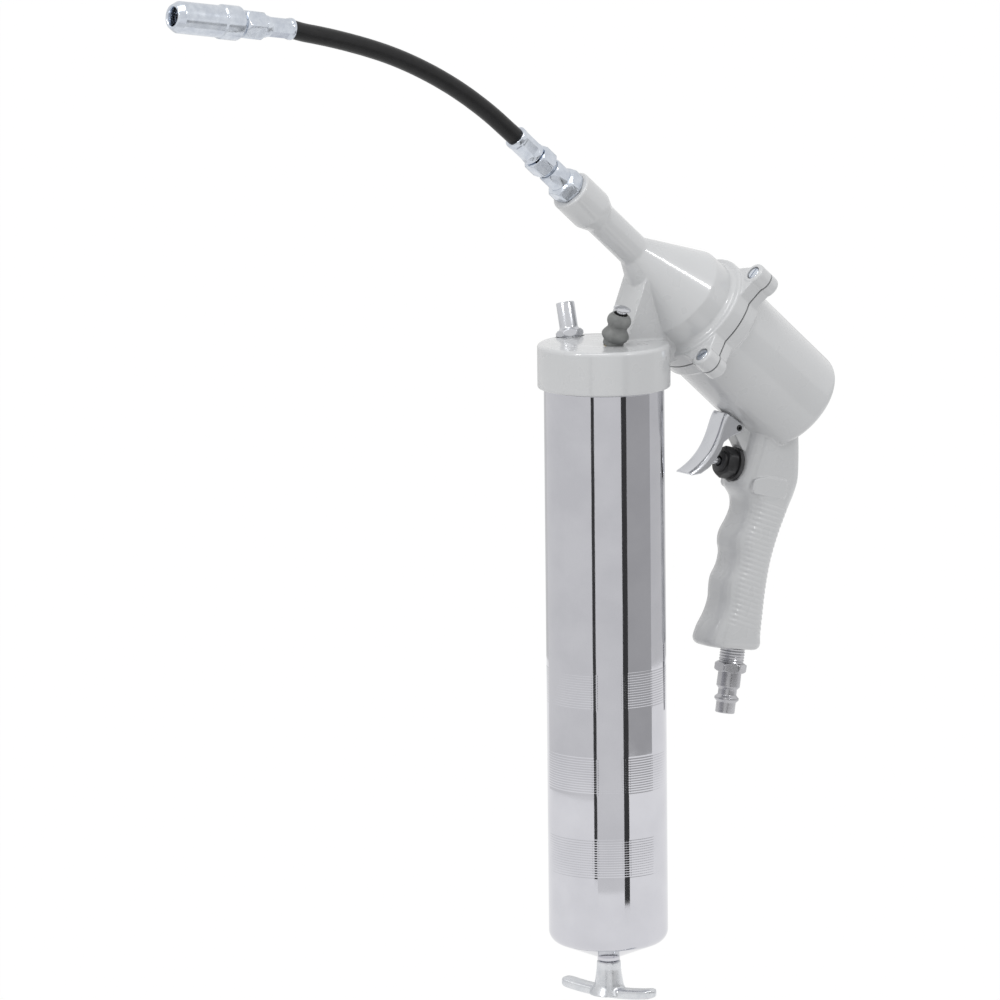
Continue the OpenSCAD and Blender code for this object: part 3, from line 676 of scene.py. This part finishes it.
def add_ribs(obj):
    """Raise fine ribs on the rear part of the grip's two sides. They fade out towards its back."""
    mesh = obj.data
    count = len(mesh.vertices)
    place, normal = np.zeros(count * 3), np.zeros(count * 3)
    mesh.vertices.foreach_get("co", place)
    mesh.vertex_normals.foreach_get("vector", normal)
    place, normal = place.reshape(-1, 3) / MM, normal.reshape(-1, 3)
    x, side, z = place[:, 0], np.abs(place[:, 1]), place[:, 2]
    across = -math.sin(RIB_SLOPE) * x + math.cos(RIB_SLOPE) * z
    top = -math.sin(RIB_SLOPE) * 80.2 + math.cos(RIB_SLOPE) * -59.5
    bottom = -math.sin(RIB_SLOPE) * 76.0 + math.cos(RIB_SLOPE) * -125.0
    # the front ends lie on a slanted plane that cuts the rounded front corners
    behind = 0.824 * x + 0.566 * side - 70.2 - 0.21 * (z + 61.8)

    def ramp(v, width):
        return np.clip(v / width, 0, 1)

    mask = ramp(behind, 3.5) * ramp(top - across, 1.0) * ramp(across - bottom, 1.0)
    mask *= (z < -50) * (side < 12.9) * ramp(np.abs(normal[:, 1]) - 0.4, 0.35)
    wave = 0.5 + 0.5 * np.cos(TAU * (across - top) / RIB_PITCH)
    place += normal * (RIB_HEIGHT * mask * (wave - 0.6))[:, None]
    mesh.vertices.foreach_set("co", (place * MM).ravel())
    mesh.update()


def motor_casting():
    """Motor cylinder, rear flange, handle and trigger lug in one casting."""
    barrel = lathe(rounded([
        (0, -MOTOR_LEN, 0), (MOTOR_R, -MOTOR_LEN, 4.5), (MOTOR_R, -8.0, 1.2), (FLANGE_R, -6.2, 0.9),
        (FLANGE_R, OVERCUT, 0), (0, OVERCUT, 0)
    ], 6), 128)
    lug = prism([(88, -42), (78, -38), (74.0, -30.8), (71.1, -28.9), (70.4, -26.4), (71.2, -23.4),
                 (72, -17.5), (92, -30)], -4.2, 4.2)
    pads = [prism(rounded(PAD, 4)[:-1], low, high) for low, high in ((-13.3, -8.0), (8.0, 13.3))]
    solid = [placed(barrel, MOTOR), handle(), lug, *pads]
    solid += [placed(p, MOTOR) for p in ears(REAR_EAR, OVERCUT)]
    obj = cast_skin("motor_body", solid, 0.42, 3)
    add_ribs(obj)
    cut(obj, [
        placed(block((-60, -60, MOTOR_FACE), (60, 60, 30)), MOTOR),
        placed(lathe([(0, -64), (22.5, -64), (22.5, 10), (0, 10)], 96), MOTOR),
        placed(lathe([(0, -24), (6, -24), (6, 0), (8.8, 0), (8.8, 24), (0, 24)], 64), VALVE),
        placed(lathe([(0, -14), (6, -14), (6, -0.8), (6.8, 0), (6.8, 12), (0, 12)], 64), PLUG),
        placed(lathe([(0, -20), (1.5, -20), (1.5, 20), (0, 20)], 24), ACROSS),
    ])
    return finish_piece(obj, "head", MATERIALS["enamel"], ["motor_casting"], sharp=50)


def flange_screws():
    """Slotted screws, sunk in the front ears."""
    rows = rounded([
        (0, -3.9, 0), (2.5, -3.9, 0.5), (2.5, 5.7, 0), (3.1, 5.7, 0.2), (3.1, 7.7, 0.6), (0, 7.9, 0)
    ])
    screws, slots = [], []
    for angle, turn in zip(EAR_ANGLES, (20, 65, 85, 40)):
        around = Matrix.Rotation(math.radians(angle), 4, "Z") @ Matrix.Translation((EAR_CIRCLE, 0, 0))
        slot_turn = Matrix.Rotation(math.radians(turn), 4, "Z")
        screws.append(placed(lathe(rows, 48), MOTOR @ around))
        slots.append(placed(block((-5, -0.3, 7.2), (5, 0.3, 10)), MOTOR @ around @ slot_turn))
    obj = add_object("screws", make_mesh("screws", screws))
    cut(obj, slots)
    return finish_piece(obj, "head", MATERIALS["zinc_plate"], ["flange_screws"])


# ---- barrel ----

BARREL_R = 28.5
BARREL_LEN = 262.0
BORE_R = 27.3
THREAD_R = 28.1
THREAD_LEN = 11.1
THREAD_PITCH = 2.5
BANDS = [(-133.2, -150.5), (-174, -191.3), (-213.4, -231.6)]
KNURL_PITCH = 1.19
KNURL_LINES = 150
KNURL_DEPTH = 0.05
SUPPORTS = (0.4, 0.9, 1.6)      # plain rings beside a change of slope, so that the long wall stays straight


def barrel():
    """Plated barrel with three knurled bands, a rolled bottom and a screw thread inside the cap."""
    corner_r, cone = 6.5, math.radians(22)
    corner_x = BARREL_R - corner_r
    drop = (corner_x + corner_r * math.sin(cone) - 5.4) * math.tan(cone)
    cone_z = -BARREL_LEN - corner_r * math.cos(cone) - drop
    rows = [(THREAD_R, THREAD_LEN - k * THREAD_LEN / 44) for k in range(45)]
    rows.append((BARREL_R - 0.15, 0.0))
    rows.append((BARREL_R, -0.2))
    rows += [(BARREL_R, -0.2 - step) for step in SUPPORTS]
    for high, low in BANDS:
        count = int(round((high - low) / (KNURL_PITCH / 6)))
        rows += [(BARREL_R, high + step) for step in reversed(SUPPORTS)]
        rows += [(BARREL_R, high - k * KNURL_PITCH / 6) for k in range(count + 1)]
        rows += [(BARREL_R, low - step) for step in SUPPORTS]
    rows += [(BARREL_R, step - BARREL_LEN) for step in reversed(SUPPORTS)]
    for k in range(17):
        a = -(math.pi / 2 - cone) * k / 16
        rows.append((corner_x + corner_r * math.cos(a), -BARREL_LEN + corner_r * math.sin(a)))
    rows += [(12, cone_z + (12 - 5.4) * math.tan(cone)), (6.4, cone_z + 0.45), (5.4, cone_z - 0.1),
             (5.4, cone_z - 1.4), (4.05, cone_z - 1.4), (4.05, cone_z + 1.6)]
    rows += [(corner_x, -BARREL_LEN - 5), (BORE_R - 1, -BARREL_LEN - 2), (BORE_R, -BARREL_LEN + 2),
             (BORE_R, THREAD_LEN)]

    def dent(radius, height, angle):
        thread = 0.35 * (0.5 - 0.5 * np.cos(TAU * (height / THREAD_PITCH - angle / TAU)))
        on_thread = (radius == THREAD_R) & (height > 0.4) & (height < THREAD_LEN - 0.4)
        out = np.where(on_thread, radius - thread, radius)
        line = 0.5 + 0.5 * np.cos(KNURL_LINES * angle)
        for high, low in BANDS:
            inside = (radius == BARREL_R) & (height <= high + 0.01) & (height >= low - 0.01)
            ring = 0.5 + 0.5 * np.cos(TAU * (height - high) / KNURL_PITCH)
            out = np.where(inside, radius - KNURL_DEPTH * np.maximum(ring, 0.8 * line) ** 3, out)
        return out

    return piece("barrel_tube", [lathe(rows, KNURL_LINES * 4, closed=True, dent=dent)], "barrel",
                 MATERIALS["chrome"], ["barrel"])


# ---- tee handle ----

TEE_HALF = 26.9
TEE_TURN = -70.5


def tee_handle():
    """Bowed die-cast bar on a flared stem."""
    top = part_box("tee_handle")[1].z / MM
    bar = top - 13.1
    stem = lathe(rounded([
        (0, top, 0), (5.7, top, 0.7), (5.8, top - 4, 0), (7.0, bar + 1, 6), (9.5, bar - 3.4, 0),
        (0, bar - 3.4, 0)
    ], 6), 64)
    sections = []
    for k in range(41):
        u = -1 + k / 20
        x = u * TEE_HALF
        bow = 2.5 * u * u
        tip = max(0.0, (abs(u) - 0.86) / 0.14)
        shrink = math.sqrt(max(0.0, 1 - tip * tip))
        half_w, half_t = 4.2 * max(shrink, 0.05), 2.5 * max(shrink, 0.05) ** 0.6
        ring = []
        for j in range(24):
            a = TAU * j / 24
            c, s = math.cos(a), math.sin(a)
            ring.append((x, half_w * math.copysign(abs(c) ** 0.6, c),
                         bar - 2.5 + bow + half_t * math.copysign(abs(s) ** 0.6, s)))
        sections.append(ring)
    bar_part = placed(loft(sections), Matrix.Rotation(math.radians(TEE_TURN), 4, "Z"))
    obj = cast_skin("tee", [stem, bar_part], 0.4, 7)
    return finish_piece(obj, "plunger", MATERIALS["cast_satin"], ["tee_handle"], sharp=60)


# ---- trigger and valve ----

TRIGGER_W = 12.4
SHEET = 1.6
FOLD_R = 2.2
TRIGGER_CURVE = [(67.6, -18.4), (63, -23), (64, -37), (45.6, -45.2)]
EYE_R = 2.5


def cubic(points, t):
    """A point on a cubic Bezier curve."""
    a, b, c, d = (np.array(p, float) for p in points)
    return (1 - t) ** 3 * a + 3 * t * (1 - t) ** 2 * b + 3 * t * t * (1 - t) * c + t ** 3 * d


def web_line(inset, steps=32):
    """The trigger's front curve, moved back by an inset."""
    out = []
    for k in range(steps + 1):
        t = k / steps
        d = cubic(TRIGGER_CURVE, t + 0.01) - cubic(TRIGGER_CURVE, t - 0.01)
        d /= np.linalg.norm(d)
        out.append(tuple(cubic(TRIGGER_CURVE, t) + inset * np.array((-d[1], d[0]))))
    return out


def trigger():
    """Pressed trigger: a slightly dished web with two folded cheeks round the pivot."""
    eye = [(PIVOT[0] + EYE_R * math.cos(math.radians(a)), PIVOT[2] + EYE_R * math.sin(math.radians(a)))
           for a in range(-80, 61, 14)]
    back = rounded([
        (45.6, -45.2, 0), (46.2, -46.5, 0.6), (51.8, -46.4, 2), (57, -43.9, 4), (61.5, -39.5, 4),
        (64.1, -36.1, 2), (65.4, -32.7, 2), (69.5, -30.4, 2), eye[0] + (0,)
    ], 5)[1:] + eye[1:]
    half = TRIGGER_W / 2
    straight = half - FOLD_R
    across = [straight + FOLD_R * math.sin(math.radians(a)) for a in range(0, 91, 10)]
    across = [-y for y in reversed(across)] + [straight * k / 6 for k in range(-5, 6)] + across
    sections = []
    for y in across:
        into = max(abs(y) - straight, 0.0)
        inset = FOLD_R - math.sqrt(max(FOLD_R ** 2 - into ** 2, 0.0))
        dish = 0.45 * max(0.0, 1 - (y / straight) ** 2)
        sections.append([(x, y, z) for x, z in web_line(inset + dish) + back])
    inner = web_line(SHEET + 0.3) + [(46, -60), (95, -60), (95, -8), (69, -8)]
    obj = add_object("trigger_sheet", make_mesh("trigger_sheet", [loft(sections)]))
    cut(obj, [prism(inner, SHEET - half, half - SHEET)])
    melt(obj, 0.25, 4)
    cut(obj, [placed(lathe([(0, -20), (1.55, -20), (1.55, 20), (0, 20)], 32), ACROSS)])
    return finish_piece(obj, "trigger", MATERIALS["polished_steel"], ["trigger"], sharp=60)


def trigger_pin():
    half = TRIGGER_W / 2 + 0.4
    rows = rounded([
        (0.6, -half + 1.5, 0), (0.7, -half, 0.2), (1.5, -half, 0.3), (1.5, half, 0.3), (0.7, half, 0.2),
        (0.6, half - 1.5, 0)
    ])
    return piece("roll_pin", [lathe(rows, 32)], "head", MATERIALS["black_oxide"],
                 ["trigger_pin"], ACROSS)


def valve():
    """Black valve nut with a round flange. The CAD stem shows through it."""
    nut = [(2.05, -9), (5.9, -9), (5.9, 0.1), (7.8, 0.15), (8.15, 0.5), (8.15, 2.1), (7.9, 2.4), (6.9, 2.5)]
    nut += hex_rows(13.6, 2.6, 8.6, 1.0)
    nut += [(5.3, 8.7), (5.1, 9.7), (4.7, 10), (2.6, 10), (2.2, 9.4), (2.05, 9)]
    turn = Matrix.Rotation(math.radians(30), 4, "Z")
    piece("valve_cap_nut", [lathe(nut, 96, closed=True)], "head", MATERIALS["black_oxide"],
          ["valve_nut"], VALVE @ turn)


# ---- nose fittings and coupler ----

def nozzle_adapter():
    rows = [(2, 86), (5.6, 86), (5.98, 87), (5.98, 103.05)]
    rows += hex_rows(15, 103.1, 110, 1.1)
    rows += [(6.1, 110.6), (6.1, 118.6), (5.6, 119.4), (5.0, 119.4), (4.9, 112), (2, 112)]
    return piece("adapter", [lathe(rows, 96, closed=True)], "head", MATERIALS["zinc_plate"],
                 ["nozzle_adapter"], MOTOR)


def hose_fitting():
    rows = [(1.6, 112.2), (4.85, 112.2), (4.85, 119.6), (4.4, 120), (4.4, 120.8), (5.2, 121.1)]
    rows += hex_rows(12.4, 121.3, 129.8, 0.9)
    rows += [(2.6, 130), (2.6, 143), (1.6, 143)]
    return piece("hose_nut", [lathe(rows, 96, closed=True)], "head", MATERIALS["zinc_plate"],
                 ["hose_fitting"], MOTOR)


def crimped(low, high, radius, inner):
    """A ferrule pressed into long flats between two plain collars."""
    rows = rounded([(inner, low, 0), (radius, low, 0.4), (radius, high, 0.5), (inner, high, 0)], 4)
    middle = [(radius, low + 0.8 + (high - low - 1.6) * k / 30) for k in range(31)]
    cutoff = next(i for i, row in enumerate(rows) if row[1] > (low + high) / 2)
    rows = rows[:cutoff] + middle + rows[cutoff:]

    def dent(r, z, angle):
        into = np.clip((z - low - 1.5) / 1.2, 0, 1) * np.clip((high - 2.4 - z) / 1.2, 0, 1)
        flat = radius * math.cos(TAU / 16) / np.cos((angle + TAU / 16) % (TAU / 8) - TAU / 16)
        return np.where(r > inner + 1, r - into * (radius - np.minimum(flat, r) + 0.22), r)

    return lathe(rows, 96, closed=True, dent=dent)


def ferrules():
    piece("nose_ferrule", [crimped(130.45, 145, 5.7, 2.62)], "head", MATERIALS["zinc_plate"],
          ["hose_ferrule"], MOTOR)
    return piece("far_ferrule", [crimped(0.02, 16.5, 5.1, 2.62)], "head",
                 MATERIALS["zinc_plate"], ["coupler_ferrule"], COUPLER)


def coupler():
    stem = [(1.6, 2), (2.6, 2), (2.6, 16.5), (5.2, 16.6)]
    stem += hex_rows(12.6, 16.8, 27.6, 1.5)
    stem += [(4.9, 28.2), (4.9, 37), (1.6, 37)]
    stem_piece = piece("coupler_nut", [lathe(stem, 96, closed=True)], "head",
                       MATERIALS["zinc_plate"], ["coupler_stem"], COUPLER)
    body = rounded([
        (4.95, 28.6, 0), (6.8, 28.6, 0.4), (8.0, 30.4, 0.4), (8.0, 39.2, 0.5), (7.4, 39.9, 0.3),
        (7.4, 62.2, 1.2), (5.6, 65.3, 0.5), (4.7, 65.3, 0.3), (4.3, 64.6, 0), (4.3, 57, 0), (5.6, 54, 0),
        (5.6, 37, 0), (4.95, 37, 0)
    ], 4)
    body_piece = piece("coupler_sleeve", [lathe(body, 96, closed=True)], "head",
                       MATERIALS["zinc_plate"], ["coupler_body"], COUPLER)
    return stem_piece, body_piece


# ---- fittings on the cap ----

def filler():
    rows = [(1.6, -5), (3.9, -5), (3.9, 0)]
    rows += hex_rows(11.4, 0.05, 3.65, 1.1)
    rows += [(5.0, 3.8), (4.5, 4.4), (4.35, 5.2), (4.35, 16.3), (4.1, 16.8), (3.5, 16.9), (2.8, 16.8),
             (2.6, 16.3), (2.6, 4), (1.6, 4)]
    return piece("filler_tube", [lathe(rows, 96, closed=True)], "head",
                 MATERIALS["polished_steel"], ["filler_nipple"], FILLER)


def bleeder():
    """Grey rubber boot with two bulbs, and the plated mushroom button in it."""
    boot = [(3.98, 0.08), (4.8, 0.08), (4.9, 0.3), (4.9, 2.4), (5.2, 2.7), (5.9, 3.5), (6.4, 4.3),
            (6.58, 5.0), (6.5, 5.7), (6.1, 6.5), (5.4, 7.5), (4.9, 8.2), (4.65, 8.8)]
    boot += [(2.1 + 3.65 * math.cos(math.radians(a)), 12.6 + 3.65 * math.sin(math.radians(a)))
             for a in range(-44, 65, 8)]
    boot += [(3.5, 16.1), (3.3, 16.0), (3.3, 15.4), (3.98, 14.6)]
    piece("boot", [lathe(boot, 96, closed=True)], "head", MATERIALS["grey_rubber"],
          ["bleeder_boot"], BLEEDER)
    pin = [(0, -5), (1.4, -5), (1.5, -4.8), (1.5, 6.5), (2.9, 6.5), (2.9, 7.5), (1.5, 7.5), (1.5, 16.2),
           (2.2, 16.6), (2.3, 18.0), (3.9, 18.25), (4.2, 18.5), (4.15, 18.8), (3.4, 19.2), (2.2, 19.5),
           (1, 19.6), (0, 19.63)]
    return piece("button", [lathe(pin, 64)], "bleeder_pin", MATERIALS["polished_steel"],
                 ["bleeder_pin"], BLEEDER)


# ---- air plug ----

def air_plug():
    """Threaded quick-coupler plug with a hexagon, a groove and a nose ring."""
    thread = [(6.05 - 0.35 * (0.5 - 0.5 * math.cos(TAU * k / 6)), -6 + k * 1.34 / 6) for k in range(61)]
    rows = [(3, -10), (5.9, -10), (5.9, -6.2), *thread, (5.6, 7.45)]
    rows += hex_rows(13.4, 7.5, 12.1, 0.8)
    rows += rounded([
        (5.6, 12.2, 0), (5.7, 19, 0.5), (4.5, 20.4, 0.6), (4.5, 23.2, 0.6), (5.9, 24.5, 0.5), (5.9, 25.4, 0.5),
        (4.7, 26.7, 0.4), (4.7, 32, 0.5), (3.4, 32, 0.3), (3, 31.4, 0)
    ], 4)
    return piece("quick_plug", [lathe(rows, 96, closed=True)], "head",
                 MATERIALS["plain_steel"], ["air_plug"], PLUG)


head_casting()
motor_casting()
flange_screws()
barrel()
tee_handle()
trigger()
trigger_pin()
valve()
nozzle_adapter()
hose_fitting()
far_ferrule = ferrules()
coupler_nut, coupler_sleeve = coupler()
filler()
bleeder()
air_plug()


# ---- studio ----

FLOOR_Z = cad_box[0].z - 0.001
FLOOR_SIZE = 60.0
SHINE_FLOOR = 0.93      # what glossy surfaces see below
FILL_FLOOR = 0.85       # what lights matt surfaces from below
WORLD_LIGHT = 0.88
BACKDROP_R = 30000      # millimetres


def glow(name, level):
    """White light of one even brightness."""
    material = bpy.data.materials.new(name)
    shader = nodes_of(material)[1]
    shader.inputs["Base Color"].default_value = (0, 0, 0, 1)
    shader.inputs["Roughness"].default_value = 0.9
    shader.inputs["Specular IOR Level"].default_value = 0.1
    shader.inputs["Emission Color"].default_value = (1, 1, 1, 1)
    shader.inputs["Emission Strength"].default_value = level
    return material


def studio():
    """A bright room with a floor of two brightnesses, before a plain white backdrop."""
    for name, level in (("shine_floor", SHINE_FLOOR), ("fill_floor", FILL_FLOOR)):
        floor = add_object(name, bpy.data.meshes.new(name))
        side = FLOOR_SIZE / 2
        corners = [(x * side, y * side, FLOOR_Z) for x, y in ((-1, -1), (1, -1), (1, 1), (-1, 1))]
        floor.data.from_pydata(corners, [], [(0, 1, 2, 3)])
        floor.data.materials.append(glow(name, level))
        floor.visible_camera = False
        floor.visible_glossy = name == "shine_floor"
        floor.visible_diffuse = name == "fill_floor"
    arc = [math.radians(a) for a in range(1, 180, 6)]
    globe = lathe([(BACKDROP_R * math.sin(a), -BACKDROP_R * math.cos(a)) for a in arc], 48)
    backdrop = add_object("backdrop", make_mesh("backdrop", [globe]))
    backdrop.data.materials.append(glow("backdrop", 1.0))
    backdrop.visible_diffuse = False
    backdrop.visible_glossy = False
    backdrop.visible_transmission = False
    backdrop.visible_shadow = False
    world = bpy.data.worlds.new("studio")
    scene.world = world
    world.use_nodes = True
    world.node_tree.nodes["Background"].inputs["Color"].default_value = (1.0, 1.0, 1.0, 1)
    world.node_tree.nodes["Background"].inputs["Strength"].default_value = WORLD_LIGHT


# Plain panels stand round the gun, seen only by glossy surfaces: (from, to, brightness, distance).
# Azimuths are in degrees, and 0 is -Y. The two black ones make the barrel's dark stripes.
PANELS = [
    (-180, -50, 0.75, 0.50),
    (-60, -52, 0.05, 0.32),
    (-54, -5, 0.75, 0.28),
    (-5, 5, 0.05, 0.25),
    (0, 60, 0.45, 0.60),
    (50, 180, 0.65, 0.85),
]
PANEL_TOP = 0.03
PANEL_STEPS = 24


def panel(name, start, end, brightness, distance):
    """An upright curved panel of one even brightness."""
    turns = [math.radians(start + (end - start) * k / PANEL_STEPS) for k in range(PANEL_STEPS + 1)]
    verts = [(distance * math.sin(a), -distance * math.cos(a), z)
             for z in (FLOOR_Z + 0.002, PANEL_TOP) for a in turns]
    count = len(turns)
    mesh = bpy.data.meshes.new(name)
    mesh.from_pydata(verts, [], [(k, k + 1, count + k + 1, count + k) for k in range(count - 1)])
    mesh.materials.append(glow(name, brightness))
    sheet = add_object(name, mesh)
    sheet.visible_camera = False
    sheet.visible_diffuse = False
    sheet.visible_transmission = False
    sheet.visible_shadow = False


def area_light(name, azimuth, elevation, distance, size, power):
    """A softbox aimed at the gun's cap."""
    a, e = math.radians(azimuth), math.radians(elevation)
    way = Vector((math.sin(a) * math.cos(e), -math.cos(a) * math.cos(e), math.sin(e)))
    data = bpy.data.lights.new(name, "AREA")
    data.shape = "RECTANGLE"
    data.size, data.size_y = size
    data.energy = power
    light = bpy.data.objects.new(name, data)
    scene.collection.objects.link(light)
    light.location = way * distance
    light.rotation_euler = (-way).to_track_quat("-Z", "Y").to_euler()


studio()
for number, sizes in enumerate(PANELS):
    panel(f"panel_{number}", *sizes)
area_light("key", 19, 40, 2.2, (0.17, 0.4), 5)
area_light("side", -85, 35, 2.2, (0.3, 0.45), 7)
area_light("top", -60, 72, 2.0, (1.0, 1.0), 9)
scene.view_settings.view_transform = "Standard"
